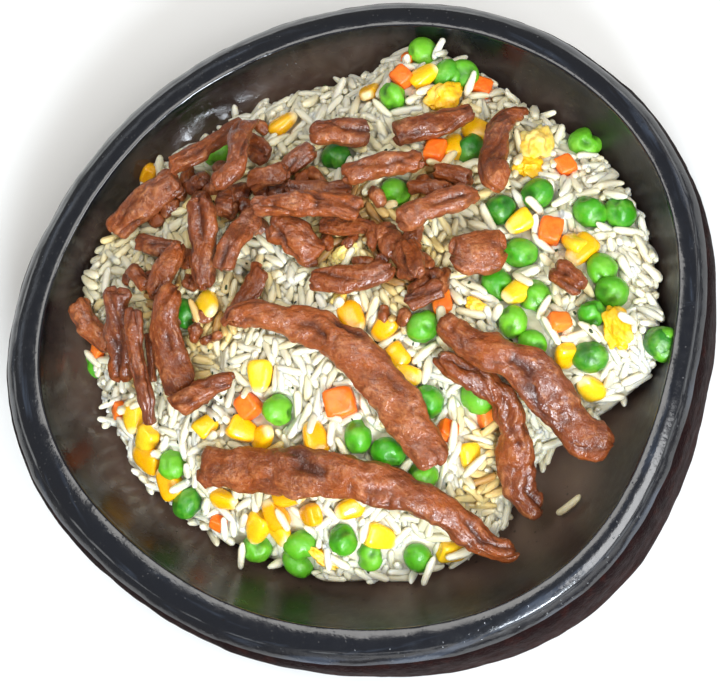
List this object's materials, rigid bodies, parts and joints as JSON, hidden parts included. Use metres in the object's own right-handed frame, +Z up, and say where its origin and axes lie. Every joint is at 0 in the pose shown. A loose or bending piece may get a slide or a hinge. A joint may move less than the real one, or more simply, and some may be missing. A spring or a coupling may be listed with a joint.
{
  "type": "fried rice plate",
  "caption": "Round hand-made stoneware dish filled with a heap of fried rice with peas, corn, carrot and egg, topped with browned beef strips.",
  "frame": {"origin": "under the middle of the dish's plan box, on the plane of its foot", "axes": "+Z up out of the dish; +X to the right of the picture and +Y away towards its top, in plan"},
  "size_m": [0.2052, 0.1944, 0.06],
  "materials": {
    "glaze": "dark glazed stoneware, brown-grey inside, glossy blue-black lip, rough maroon-brown outside",
    "rice": "moist cooked white rice with a light oil sheen",
    "beef": "browned fried beef, fibrous, lightly oiled",
    "pea": "glossy green pea skin with small dimples",
    "corn": "glossy yellow kernel",
    "carrot": "moist cooked orange carrot",
    "egg": "soft scrambled egg, yellow with pale parts"
  },
  "bodies": {
    "root": {"dish": "glaze", "rice_heap": "rice", "loose_rice_grain": "rice", "beef_rim_long": "beef", "beef_rim_top": "beef", "beef_flat_left": "beef", "beef_bit_left": "beef", "beef_bit_top": "beef", "beef_bit_middle": "beef", "beef_bit_fork": "beef", "beef_pink_left": "beef", "beef_sliver_left": "beef", "beef_under_left": "beef", "beef_back_bit": "beef", "beef_back_left": "beef", "beef_back_middle": "beef", "beef_back_right": "beef", "beef_back_low": "beef", "beef_loop": "beef", "beef_big_left": "beef", "beef_thin_left": "beef", "beef_brown_left": "beef", "beef_fork_left": "beef", "beef_twist_top": "beef", "beef_dark_upright": "beef", "beef_light_upright": "beef", "beef_low_upright": "beef", "beef_folded_middle": "beef", "beef_hook_middle": "beef", "beef_prong_middle": "beef", "beef_fork_middle": "beef", "beef_chunk_right": "beef", "beef_long_middle": "beef", "beef_top_left": "beef", "beef_top_middle": "beef", "beef_top_lower": "beef", "beef_hook_right": "beef", "beef_nub_right": "beef", "beef_lower_right": "beef", "beef_far_right": "beef", "beef_long_front": "beef", "beef_diagonal": "beef"}
  },
  "joints": []
}
